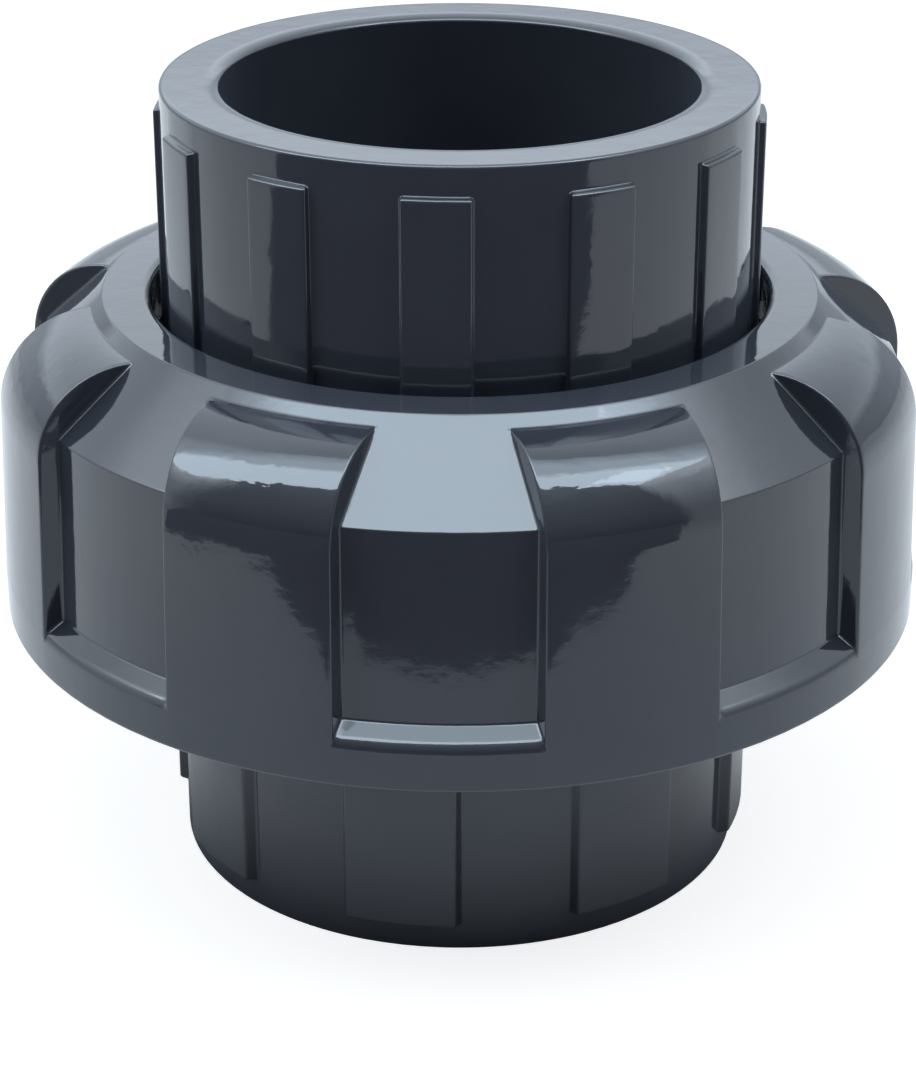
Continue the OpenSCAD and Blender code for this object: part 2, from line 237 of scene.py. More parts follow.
def threaded_body_grids():
    """Lower end piece: socket below, ribbed wall, threaded hub above with the O-ring's groove."""
    columns = rib_columns(WIDE_RIBS, WIDE_RIB_TURN, WIDE_RIB_HALF, WIDE_FLANK, (-0.8, -0.4, 0.0, 0.4, 0.8), 7)
    foot = WIDE_FLANK[-1][0]

    def wall_point(column, z):
        share, inset = rib_end(z, WIDE_RIB_Z, 1, WIDE_RIB_CORNER)
        return rib_point(column, WALL_R, z, WIDE_RIB_HALF, WIDE_RIB_H, share, inset, WIDE_RIBS, foot)

    angles = column_angles(columns, wall_point, 20.0)
    wall_levels = [LOWER_MOUTH_ROUND, 0.5, 1.6] + [WIDE_RIB_Z + s for s in RIB_END_STEPS]
    wall_levels += [7.0, 12.0, 18.0, 24.0, 29.0, 32.0, HUB_Z0 - 0.15, HUB_Z0]
    closed = columns + columns[:1]
    wall = np.array([[wall_point(c, z) for c in closed] for z in wall_levels])
    bottom = ([(MOUTH_R, 0.0), (MOUTH_R + 0.15, 0.0), (28.5, 0.0)]
              + arc(WALL_R - LOWER_MOUTH_ROUND, LOWER_MOUTH_ROUND, LOWER_MOUTH_ROUND, -90, 0, 4))
    stop_z = LOWER_FLOOR_Z - STOP_ROUND
    flow_end = flow_edge(SEAL_Z, -1)
    bore = (line(flow_end[-1], (FLOW_R, LOWER_FLOOR_Z), (0, 0.3, 0.7, 1))
            + line((FLOW_R, LOWER_FLOOR_Z), (SOCKET_R - STOP_ROUND, LOWER_FLOOR_Z), (0.15, 0.6, 1))
            + arc(SOCKET_R - STOP_ROUND, stop_z, STOP_ROUND, 90, 0, 3)
            + line((SOCKET_R, stop_z), (SOCKET_R, MOUTH_DEPTH + 0.1), (0.05, 0.35, 0.7, 0.97, 1))
            + [(r, MOUTH_DEPTH - dz) for r, dz in mouth_curve()])
    under = ([(WALL_R + WIDE_RIB_H + 0.4, HUB_Z0), (35.5, HUB_Z0)]
             + [(HUB_R - inwards, HUB_Z0 + along) for inwards, along in HUB_EDGE])
    hub_top = [(HUB_R - inwards, SEAL_Z - along) for inwards, along in reversed(HUB_EDGE)]
    groove_out, groove_in = (GROOVE_OUT_R + GROOVE_EDGE, SEAL_Z), (GROOVE_IN_R - GROOVE_EDGE, SEAL_Z)
    over = (hub_top
            + line(hub_top[-1], groove_out, (0.4, 0.8, 1))
            + [(GROOVE_OUT_R, SEAL_Z - GROOVE_EDGE), (GROOVE_OUT_R, GROOVE_Z + CORNER_CUT),
               (GROOVE_OUT_R - CORNER_EASE, GROOVE_Z + CORNER_EASE), (GROOVE_OUT_R - CORNER_CUT, GROOVE_Z),
               (GROOVE_IN_R + CORNER_CUT, GROOVE_Z), (GROOVE_IN_R + CORNER_EASE, GROOVE_Z + CORNER_EASE),
               (GROOVE_IN_R, GROOVE_Z + CORNER_CUT), (GROOVE_IN_R, SEAL_Z - GROOVE_EDGE), groove_in]
            + line(groove_in, flow_end[0], (0.3, 0.8, 1))
            + flow_end[1:])
    wall_start = np.array([[wall_point(c, LOWER_MOUTH_ROUND) for c in closed]])
    bottom_grid = np.concatenate([ring_grid(bottom[:-1], angles), wall_start])
    under_grid = np.concatenate([wall[-1:], ring_grid(under, angles)])
    threaded = (under[-1][1], over[0][1])
    hub = thread_band(angles, HUB_R, 1, MALE_RIDGE, MALE_Z, *threaded, MALE_FROM_Z, MALE_TO_Z)
    return [bottom_grid, wall, under_grid, hub, ring_grid(over, angles), ring_grid(bore, angles)]


def end_connector_grids():
    """Upper end piece: sealing face, collar, ribbed wall and socket."""
    columns = rib_columns(NARROW_RIBS, NARROW_RIB_TURN, NARROW_RIB_HALF, NARROW_FLANK, (-0.8, 0.0, 0.8), 5)
    foot = NARROW_FLANK[-1][0]

    def wall_point(column, z):
        share, inset = rib_end(z, NARROW_RIB_Z, -1, NARROW_RIB_CORNER)
        return rib_point(column, WALL_R, z, NARROW_RIB_HALF, NARROW_RIB_H, share, inset, NARROW_RIBS, foot)

    angles = column_angles(columns, wall_point, 70.0)
    levels = [TOP_Z - UPPER_MOUTH_ROUND, TOP_Z - 0.8, TOP_Z - 2.0] + [NARROW_RIB_Z - s for s in RIB_END_STEPS]
    levels += [80.5, 76.0, 71.0, 66.0, 62.0, 59.0, COLLAR_Z1 + 0.35]
    closed = columns + columns[:1]
    wall = np.array([[wall_point(c, z) for c in closed] for z in levels])
    rim = (line((MOUTH_R, TOP_Z), (WALL_R - UPPER_MOUTH_ROUND, TOP_Z), (0.0, 0.05, 0.3, 0.7, 0.95, 1.0))
           + arc(WALL_R - UPPER_MOUTH_ROUND, TOP_Z - UPPER_MOUTH_ROUND, UPPER_MOUTH_ROUND, 90, 0, 8)[1:-1])
    rim_grid = np.concatenate([ring_grid(rim, angles), wall[:1]])
    edge_r, flow_end = COLLAR_R - COLLAR_ROUND, flow_edge(COLLAR_Z0, 1)
    stop_z = UPPER_FLOOR_Z + STOP_ROUND
    collar = ([(WALL_R + NARROW_RIB_H + 0.45, COLLAR_Z1), (35.0, COLLAR_Z1), (edge_r, COLLAR_Z1)]
              + arc(edge_r, COLLAR_Z1 - COLLAR_ROUND, COLLAR_ROUND, 60, 0, 2)
              + [(COLLAR_R, 55.0)]
              + arc(edge_r, COLLAR_Z0 + COLLAR_ROUND, COLLAR_ROUND, 0, -90, 3)
              + line((edge_r, COLLAR_Z0), flow_end[0], (0.3, 0.7, 1))
              + flow_end[1:]
              + [(FLOW_R, UPPER_FLOOR_Z - 0.25), (FLOW_R + 0.07, UPPER_FLOOR_Z - 0.07),
                 (FLOW_R + 0.25, UPPER_FLOOR_Z), (SOCKET_R - STOP_ROUND, UPPER_FLOOR_Z)]
              + arc(SOCKET_R - STOP_ROUND, stop_z, STOP_ROUND, -90, 0, 3)[1:]
              + line((SOCKET_R, stop_z), (SOCKET_R, TOP_Z - MOUTH_DEPTH - 0.1),
                     (0.05, 0.3, 0.6, 0.9, 0.99, 1))
              + [(r, TOP_Z - MOUTH_DEPTH + dz) for r, dz in mouth_curve()])
    collar_grid = np.concatenate([wall[-1:], ring_grid(collar, angles)])
    return [rim_grid, wall, collar_grid]


# Nut: roundings where the lobes, recesses, ledge and cone meet
EDGE_ROUND, FOOT_ROUND = 0.22, 0.25
CORNER_ROUND, CONE_ROUND, CREASE_ROUND, RING_ROUND = 0.3, 0.3, 0.35, 0.3
RIM_ROUND, LIP_ROUND = 0.5, 0.9
CONE_DEG = math.degrees(math.atan2(PANEL_TOP_R - TOP_RING_R, NUT_Z1 - CONE_Z0))
LEDGE_DEG = math.degrees(math.atan2(RIM_R - PANEL_R, PANEL_Z0 - LEDGE_Z))
LEAN_DEG = math.degrees(math.atan2(PANEL_R - PANEL_TOP_R, CONE_Z0 - PANEL_Z0))


def corner_arc(corner, radius, start_deg, end_deg, steps):
    """Rounding of a profile's corner, between sides whose normals point at the two angles.
    A negative radius fills a corner that points inwards."""
    middle = math.radians((start_deg + end_deg) / 2)
    away = radius / math.cos(math.radians((end_deg - start_deg) / 2))
    centre = (corner[0] - away * math.cos(middle), corner[1] - away * math.sin(middle))
    return arc(centre[0], centre[1], radius, start_deg, end_deg, steps)


def lobe_rows():
    """Matched points up the middle of a lobe and up a recess, from the rim to where both meet on the cone."""
    crease_r = TOP_RING_R + (NUT_Z1 - LOBE_TOP_Z) * math.tan(math.radians(CONE_DEG))
    crease = corner_arc((crease_r, LOBE_TOP_Z), -CREASE_ROUND, 90, CONE_DEG, 4)
    ledge = corner_arc((RIM_R, LEDGE_Z), LEDGE_ROUND, 0, LEDGE_DEG, 9)
    foot = corner_arc((PANEL_R, PANEL_Z0), -CORNER_ROUND, LEDGE_DEG, LEAN_DEG, 5)
    cone_foot = corner_arc((PANEL_TOP_R, CONE_Z0), CONE_ROUND, LEAN_DEG, CONE_DEG, 4)
    slope = line(ledge[-1], foot[0], (0.05, 0.3, 0.7, 0.95))
    panel = line(foot[-1], cone_foot[0], (0.008, 0.03, 0.09, 0.18, 0.3, 0.43, 0.56, 0.69, 0.79, 0.85))
    recess = ledge + slope + foot + panel
    lean = (RIM_R - LOBE_FACE_R) / (SHOULDER_Z - LEDGE_Z)
    lobe = [(RIM_R - lean * max(0.0, z - LEDGE_Z), z) for _, z in recess]
    recess += line(panel[-1], cone_foot[0], (0.3, 0.6, 0.85, 0.98)) + cone_foot
    shares = (0.015, 0.06, 0.14, 0.24, 0.35, 0.45, 0.55, 0.64, 0.73, 0.81, 0.88, 0.93, 0.965, 0.98, 0.986,
              0.992, 0.997, 1.0)
    recess += line(cone_foot[-1], crease[-1], shares)
    angles = (LEAN_DEG, 5, 9, 13, 15, 17, 19, 21, 23, 25.5, 29, 34, 40, 46, 52, 58, 64, 70, 76, 82, 87, 90)
    centre_r = LOBE_FACE_R - SHOULDER_R
    lobe += [arc(centre_r, SHOULDER_Z, SHOULDER_R, a, a, 0)[0] for a in angles] + crease
    return lobe, recess


def profile_normals(points):
    """Unit normal at each point of a profile."""
    steps = np.gradient(np.array(points), axis=0)
    steps /= np.linalg.norm(steps, axis=1)[:, None] + 1e-12
    return np.stack([-steps[:, 1], steps[:, 0]], axis=1)


def nut_columns():
    """Columns round the nut, by kind: face and gap by share, edge and foot by degrees, mid by share."""
    face = [("face", s, 0) for s in (-1, -0.95, -0.82, -0.62, -0.4, -0.2, 0, 0.2, 0.4, 0.62, 0.82, 0.95, 1)]
    wall = ([("edge", a, 1) for a in (18, 36, 54, 72, 90)] + [("mid", s, 1) for s in (0.08, 0.5, 0.92)]
            + [("foot", a, 1) for a in (0, 22.5, 45, 67.5, 90)])
    gap = [("gap", s, 1) for s in (0.03, 0.12, 0.27, 0.42, 0.58, 0.73, 0.88, 0.97)]
    mirrored = [(kind, value, -1) for kind, value, _ in reversed(wall)]
    columns = []
    for i in range(LOBES):
        middle = math.radians(LOBE_TURN + 360.0 * i / LOBES)
        columns += [(middle,) + c for c in mirrored + face + wall + gap]
    return columns


def nut_row(columns, lobe, recess, normal_l, normal_r):
    """One row of the nut's outside. lobe and recess are its profile points, equal where the nut is round."""
    half = LOBE_HALF - LOBE_TAPER * (lobe[1] - LOBE_FOOT_Z)
    lobe, recess = np.array(lobe), np.array(recess)
    across = recess - lobe
    depth_l, depth_r = abs(across @ normal_l), abs(across @ normal_r)
    last_deg = 90.0
    if depth_l < EDGE_ROUND:
        last_deg = math.degrees(math.acos(1 - depth_l / EDGE_ROUND))
    start = half - EDGE_ROUND
    edge_end = min(EDGE_ROUND, depth_l) / max(depth_l, TINY)
    t_wall = start + EDGE_ROUND * math.sin(math.radians(last_deg))
    foot_room = depth_r * (1 - edge_end)
    foot_r = min(FOOT_ROUND, 0.8 * foot_room)
    foot_start = 1 - foot_r / depth_r if depth_r > NO_DEPTH else 1.0
    t_foot = t_wall + foot_r
    row = []
    for middle, kind, value, side in columns:
        if kind == "gap":
            edge = math.asin(t_foot / recess[0])
            row.append(place(recess[0], recess[1], middle + edge + (2 * math.pi / LOBES - 2 * edge) * value))
            continue
        if kind == "face":
            share, t, side = 0.0, start * abs(value), math.copysign(1, value)
        elif kind == "edge":
            turn = math.radians(value * last_deg / 90)
            share = EDGE_ROUND * (1 - math.cos(turn)) / depth_l if depth_l > NO_DEPTH else 0.0
            t = start + EDGE_ROUND * math.sin(turn)
        elif kind == "mid":
            share, t = edge_end + (foot_start - edge_end) * value, t_wall
        else:
            turn = math.radians(value)
            share = 1 - foot_r * (1 - math.sin(turn)) / depth_r if depth_r > NO_DEPTH else 1.0
            t = t_wall + foot_r * (1 - math.cos(turn))
        r, z = lobe + across * min(max(share, 0.0), 1.0)
        row.append(place(r, z, middle + side * math.asin(t / r)))
    return row


def union_nut_grids():
    """Nut: rim, lobes and recesses outside, flat ring and lip on top, thread inside."""
    columns = nut_columns()
    rim = (arc(RIM_R - RIM_ROUND, NUT_Z0 + RIM_ROUND, RIM_ROUND, -90, 0, 8)
           + [(RIM_R, z) for z in (30.1, 30.9, 32.0, 33.1)])
    lobe, recess = lobe_rows()
    ring_tangent = RING_ROUND * math.tan(math.radians((90 - CONE_DEG) / 2))
    ring_edge = arc(TOP_RING_R - ring_tangent, NUT_Z1 - RING_ROUND, RING_ROUND, CONE_DEG, 90, 4)
    strip = line(lobe[-1], ring_edge[0], (0.1, 0.5, 0.9)) + ring_edge
    left, right = rim + lobe + strip, rim + recess + strip
    normals_l, normals_r = profile_normals(left), profile_normals(right)
    outer = np.array([nut_row(columns, *row) for row in zip(left, right, normals_l, normals_r)])
    outer = np.concatenate([outer, outer[:, :1]], axis=1)
    kept = [i for i, c in enumerate(columns) if c[1] in ("face", "gap")]
    first = kept[0]
    top = outer[-1][kept]
    angles = list(np.unwrap(np.arctan2(top[:, 0], -top[:, 1])))
    closed = kept + [first]
    flat = [(r, NUT_Z1) for r in (TOP_RING_R - ring_tangent, 37.2, 35.6, 34.2)]
    inside = (flat + arc(LIP_R + LIP_ROUND, NUT_Z1 - LIP_ROUND, LIP_ROUND, 90, 180, 6)
              + [(LIP_R, 62.6), (LIP_R, 60.5), (LIP_R, LIP_Z0 + LIP_FOOT_ROUND)]
              + arc(LIP_R + LIP_FOOT_ROUND, LIP_Z0 + LIP_FOOT_ROUND, LIP_FOOT_ROUND, 180, 270, 3)[1:]
              + [(36.0, LIP_Z0), (39.1, LIP_Z0), (39.31, 57.91)]
              + [(NUT_CREST_R, z) for z in (57.7, 56.0, 54.8)]
              + [(39.45, 54.62), (41.3, 52.8), (NUT_ROOT_R, BORE_Z1)])
    skirt = [(NUT_ROOT_R, BORE_Z0), (NUT_ROOT_R + 0.05, 30.10), (42.1, 29.41), (42.25, NUT_Z0),
             (44.5, NUT_Z0), (48.0, NUT_Z0)]
    upper = ring_grid(inside, angles)
    lower = np.concatenate([ring_grid(skirt, angles), outer[:1][:, closed]])
    band = thread_band(angles, NUT_ROOT_R, -1, FEMALE_RIDGE, FEMALE_Z, BORE_Z0, BORE_Z1,
                       FEMALE_FROM_Z, FEMALE_TO_Z)
    return [outer, upper, band, lower]


# Materials. Scales are lumps in a metre, and depths of bumps are in metres
PVC_DARK, PVC_LIGHT = (0.034, 0.039, 0.051, 1.0), (0.043, 0.049, 0.062, 1.0)
PVC_IOR = 1.54
PVC_ROUGHNESS = (0.045, 0.08)
PVC_CLOUD_SCALE, PVC_HAZE_SCALE = 60, 140
WAVE_SCALE, WAVE_DEPTH, WAVE_STRENGTH = 70, 6e-5, 0.5
PEEL_SCALE, PEEL_DEPTH, PEEL_STRENGTH = 420, 2.4e-5, 0.8
# Flow marks: how far in front of the nut's cone and at which heights they fade in and out, in metres
WRINKLE_SCALE, WRINKLE_DEPTH, WRINKLE_STRENGTH = 430, 7e-5, 0.8
WRINKLE_FLATTENING = 2.2
WRINKLE_PATCH_SCALE, WRINKLE_PATCHES = 110, (0.44, 0.60)
WRINKLE_PROUD, WRINKLE_LOW, WRINKLE_HIGH = (0.0018, 0.0028), (0.0562, 0.0578), (0.0614, 0.0630)
RUBBER_DARK, RUBBER_LIGHT = (0.010, 0.010, 0.011, 1.0), (0.016, 0.016, 0.017, 1.0)
RUBBER_ROUGHNESS = (0.5, 0.62)
RUBBER_CLOUD_SCALE, RUBBER_HAZE_SCALE = 300, 900
GRAIN_SCALE, GRAIN_DEPTH, GRAIN_STRENGTH = 2500, 8e-6, 0.5


def new_material(name):
    """Empty node material with its shader and output, and the object's own coordinates."""
    material = bpy.data.materials.new(name)
    material.use_nodes = True
    nodes, links = material.node_tree.nodes, material.node_tree.links
    nodes.clear()
    output = nodes.new("ShaderNodeOutputMaterial")
    shader = nodes.new("ShaderNodeBsdfPrincipled")
    links.new(shader.outputs["BSDF"], output.inputs["Surface"])
    place_node = nodes.new("ShaderNodeTexCoord")
    return material, nodes, links, shader, place_node.outputs["Object"]


def add_noise(nodes, links, vector, scale, detail, roughness=0.5):
    """Noise texture in object space. scale is the number of lumps in a metre."""
    noise = nodes.new("ShaderNodeTexNoise")
    noise.inputs["Scale"].default_value = scale
    noise.inputs["Detail"].default_value = detail
    noise.inputs["Roughness"].default_value = roughness
    links.new(vector, noise.inputs["Vector"])
    return noise.outputs["Fac"]


def add_range(nodes, links, value, low, high, start=0.3, end=0.7):
    """Maps a value from between start and end, which suit a noise if left out, to between low and high."""
    spread = nodes.new("ShaderNodeMapRange")
    for name, number in (("From Min", start), ("From Max", end), ("To Min", low), ("To Max", high)):
        spread.inputs[name].default_value = number
    links.new(value, spread.inputs["Value"])
    return spread.outputs["Result"]


def add_maths(nodes, links, operation, *values):
    """Maths node. Each value is a number or another node's output."""
    node = nodes.new("ShaderNodeMath")
    node.operation = operation
    for socket, value in zip(node.inputs, values):
        if isinstance(value, (int, float)):
            socket.default_value = value
        else:
            links.new(value, socket)
    return node.outputs["Value"]


def add_split(nodes, links, vector):
    """The three coordinates of a vector."""
    split = nodes.new("ShaderNodeSeparateXYZ")
    links.new(vector, split.inputs["Vector"])
    return split.outputs["X"], split.outputs["Y"], split.outputs["Z"]


def add_scaled(nodes, links, vector, factors):
    """A vector with each coordinate multiplied by its own factor."""
    scaled = nodes.new("ShaderNodeVectorMath")
    scaled.operation = "MULTIPLY"
    scaled.inputs[1].default_value = factors
    links.new(vector, scaled.inputs[0])
    return scaled.outputs["Vector"]


def add_length(nodes, links, vector):
    """Length of a vector."""
    length = nodes.new("ShaderNodeVectorMath")
    length.operation = "LENGTH"
    links.new(vector, length.inputs[0])
    return length.outputs["Value"]


def add_mix(nodes, links, factor, first, second):
    """Colour between two colours."""
    mix = nodes.new("ShaderNodeMix")
    mix.data_type = "RGBA"
    mix.inputs["A"].default_value = first
    mix.inputs["B"].default_value = second
    links.new(factor, mix.inputs["Factor"])
    return mix.outputs["Result"]


def add_curve(nodes, links, value, points):
    """Curve through (input, output) pairs in rising order, joined by straight lines."""
    first, last = points[0][0], points[-1][0]
    peak = max(output for _, output in points)
    curve = nodes.new("ShaderNodeValToRGB")
    stops = curve.color_ramp.elements
    while len(stops) > 1:
        stops.remove(stops[-1])
    for i, (where, output) in enumerate(points):
        stop = stops[0] if i == 0 else stops.new((where - first) / (last - first))
        stop.position = (where - first) / (last - first)
        stop.color = (output / peak, output / peak, output / peak, 1.0)
    links.new(add_range(nodes, links, value, 0.0, 1.0, first, last), curve.inputs["Fac"])
    return add_maths(nodes, links, "MULTIPLY", curve.outputs["Color"], peak)


def add_bump(nodes, links, height, distance, strength, under=None):
    """Bump of a real height in metres, over another bump's normal if one is given."""
    bump = nodes.new("ShaderNodeBump")
    bump.inputs["Distance"].default_value = distance
    bump.inputs["Strength"].default_value = strength
    links.new(height, bump.inputs["Height"])
    if under is not None:
        links.new(under, bump.inputs["Normal"])
    return bump.outputs["Normal"]


def shoulder_wrinkles(nodes, links, where):
    """Height of the short flow marks in the gloss of the lobes' shoulders, patchy, and zero elsewhere."""
    z = add_split(nodes, links, where)[2]
    radius = add_length(nodes, links, add_scaled(nodes, links, where, (1.0, 1.0, 0.0)))
    cone_slope = (PANEL_TOP_R - TOP_RING_R) / (NUT_Z1 - CONE_Z0)
    cone_line = (PANEL_TOP_R + cone_slope * CONE_Z0) * MM
    across = add_maths(nodes, links, "MULTIPLY_ADD", z, cone_slope, radius)
    proud = add_range(nodes, links, across, 0, 1, *(cone_line + out for out in WRINKLE_PROUD))
    low = add_range(nodes, links, z, 0, 1, *WRINKLE_LOW)
    high = add_range(nodes, links, z, 1, 0, *WRINKLE_HIGH)
    patch_noise = add_noise(nodes, links, where, WRINKLE_PATCH_SCALE, 1)
    patches = add_range(nodes, links, patch_noise, 0, 1, *WRINKLE_PATCHES)
    flattened = add_scaled(nodes, links, where, (1.0, 1.0, WRINKLE_FLATTENING))
    height = add_noise(nodes, links, flattened, WRINKLE_SCALE, 2)
    for mask in (low, high, proud, patches):
        height = add_maths(nodes, links, "MULTIPLY", height, mask)
    return height


def pvc_material():
    """Glossy moulded grey PVC: faint cloudiness in the grey, waves, peel and flow marks in the gloss."""
    material, nodes, links, shader, where = new_material("grey_pvc")

    def noise(scale, detail):
        return add_noise(nodes, links, where, scale, detail)

    cloud = add_range(nodes, links, noise(PVC_CLOUD_SCALE, 4), 0, 1)
    links.new(add_mix(nodes, links, cloud, PVC_DARK, PVC_LIGHT), shader.inputs["Base Color"])
    links.new(add_range(nodes, links, noise(PVC_HAZE_SCALE, 3), *PVC_ROUGHNESS), shader.inputs["Roughness"])
    shader.inputs["IOR"].default_value = PVC_IOR
    waves = add_bump(nodes, links, noise(WAVE_SCALE, 1), WAVE_DEPTH, WAVE_STRENGTH)
    peel = add_bump(nodes, links, noise(PEEL_SCALE, 4), PEEL_DEPTH, PEEL_STRENGTH, waves)
    marks = shoulder_wrinkles(nodes, links, where)
    links.new(add_bump(nodes, links, marks, WRINKLE_DEPTH, WRINKLE_STRENGTH, peel), shader.inputs["Normal"])
    return material


def rubber_material():
    """Matt black rubber of the O-ring."""
    material, nodes, links, shader, where = new_material("seal_rubber")

    def noise(scale, detail):
        return add_noise(nodes, links, where, scale, detail)

    cloud = add_range(nodes, links, noise(RUBBER_CLOUD_SCALE, 4), 0, 1)
    links.new(add_mix(nodes, links, cloud, RUBBER_DARK, RUBBER_LIGHT), shader.inputs["Base Color"])
    haze = add_range(nodes, links, noise(RUBBER_HAZE_SCALE, 3), *RUBBER_ROUGHNESS)
    links.new(haze, shader.inputs["Roughness"])
    grain = add_bump(nodes, links, noise(GRAIN_SCALE, 2), GRAIN_DEPTH, GRAIN_STRENGTH)
    links.new(grain, shader.inputs["Normal"])
    return material


# Studio, in metres. The floor: its half width, its white, and the even glow that the camera sees on it
FLOOR_HALF, FLOOR_WHITE, FLOOR_GLOW = 4.0, 0.80, 0.80
# The floor in the gloss, a glow with painted light and shade: brightness by distance from the axis, a painted
# shadow round the part's foot that fades far off, brightness by distance to the side, painted light there,
# and the tint in front, which turns to the other tint to the sides and behind
FLOOR_PAINTED_SHADOW = [(0.031, 0.05), (0.040, 0.50), (0.050, 0.90), (0.060, 1.08), (0.22, 1.08), (0.60, 0.80)]
FLOOR_PAINTED_SIDE_LIGHT = [(0.06, 1.0), (0.16, 1.22)]
FLOOR_TINT, FLOOR_SIDE_TINT = (0.85, 0.96, 1.13, 1.0), (0.90, 0.985, 1.07, 1.0)
FLOOR_SIDE_X, FLOOR_SIDE_Y = (0.08, 0.15), (-0.06, 0.0)

# Dark card on the floor in front: its jagged near edge is what the lobes and ribs show
DARK_TINT, DARK_GLOW, DARK_Z = (0.96, 1.0, 1.30), 0.25, 0.002
DARK_OUTLINE = [(-0.110, -0.134), (-0.095, -0.132), (-0.072, -0.130), (-0.058, -0.124), (-0.0575, -0.143),
                (-0.045, -0.136), (-0.012, -0.138), (0.033, -0.140), (0.042, -0.135), (0.063, -0.143),
                (0.088, -0.137), (0.130, -0.150), (0.165, -0.153), (0.200, -0.180), (0.240, -0.215),
                (3.9, -2.845), (3.9, -3.9), (-3.9, -3.9), (-3.9, -1.654), (-0.165, -0.062),
                (-0.150, -0.086), (-0.132, -0.115)]

# Softbox overhead: brighter in front of a slanted line, and fading towards the back
SOFTBOX_TINT = (0.80, 0.96, 1.11)
SOFTBOX_FRONT, SOFTBOX_BACK, SOFTBOX_SPOT = 9.6, 5.6, 13.0
SOFTBOX_SLANT, SOFTBOX_EDGE = -0.3, (-0.205, -0.165)
SOFTBOX_FADE_Y, SOFTBOX_FADE_TO = (-0.03, 0.07), 0.5
SOFTBOX_Z, SPOT_Z = 0.62, 0.61
SOFTBOX_OUTLINE = [(-0.86, -0.285), (-0.66, -0.285), (-0.31, -0.36), (0.31, -0.315), (0.45, -0.34),
                   (0.47, 0.06), (-0.50, 0.06), (-0.86, -0.02)]
SPOT_OUTLINE = [(0.28, -0.28), (0.43, -0.29), (0.41, -0.14), (0.29, -0.13)]

# Lamp that lights the matt surfaces
LAMP_SIZE, LAMP_PLACE = (1.24, 0.43), (0.0, -0.155, 0.62)
LAMP_POWER, LAMP_TINT = 2.0, (0.86, 0.94, 1.0)

# Surroundings that the gloss shows: brightness by elevation in degrees
WORLD_TINT = (0.89, 0.99, 1.10, 1.0)
FRONT_LEVELS = [(-25, 0.10), (-8, 0.08), (0, 0.12), (8, 0.22), (15, 0.32), (30, 0.42), (40, 0.55), (50, 0.8),
                (58, 1.2), (66, 0.3)]
LEFT_LEVELS = [(-25, 1.5), (10, 1.4), (24, 1.9), (30, 3.2), (37, 6.2), (46, 5.0), (56, 5.0), (68, 4.0),
               (80, 1.5)]
RIGHT_LEVELS = [(-25, 1.0), (12, 0.95), (24, 1.4), (36, 2.3), (42, 2.9), (48, 4.8), (58, 5.3), (68, 4.5),
                (80, 1.5)]
BACK_LEVELS = [(-10, 0.45), (5, 0.8), (13, 0.9), (17.5, 1.85), (27, 1.65), (35, 1.65), (60, 2.0), (75, 1.6)]
# The back grows brighter to the left
BACK_LEFTWARDS = 0.15
# Where each of them holds: share by degrees from the front, to the right positive
FRONT_SHARES = [(-72, 0.0), (-69, 0.45), (-64, 0.95), (-58, 1.0), (53, 1.0), (56.5, 0.0)]
LEFT_SHARES = [(-40, 1.0), (0, 0.0)]
BACK_SHARES = [(88, 0.0), (118, 1.0)]


def emission_material(name, colour, strength=1.0):
    """Plain emission."""
    material = bpy.data.materials.new(name)
    material.use_nodes = True
    nodes, links = material.node_tree.nodes, material.node_tree.links
    nodes.clear()
    output = nodes.new("ShaderNodeOutputMaterial")
    glow = nodes.new("ShaderNodeEmission")
    glow.inputs["Color"].default_value = (*colour, 1.0)
    glow.inputs["Strength"].default_value = strength
    links.new(glow.outputs["Emission"], output.inputs["Surface"])
    return material


def card(name, outline, z, material, seen_by_diffuse=False):
    """Level studio card that the camera doesn't see, but reflections do."""
    mesh = bpy.data.meshes.new(name)
    mesh.from_pydata([(x, y, z) for x, y in outline], [], [tuple(range(len(outline)))])
    piece = bpy.data.objects.new(name, mesh)
    bpy.context.scene.collection.objects.link(piece)
    piece.data.materials.append(material)
    piece.visible_camera = False
    piece.visible_diffuse = seen_by_diffuse
    piece.visible_shadow = False
    piece.visible_transmission = False


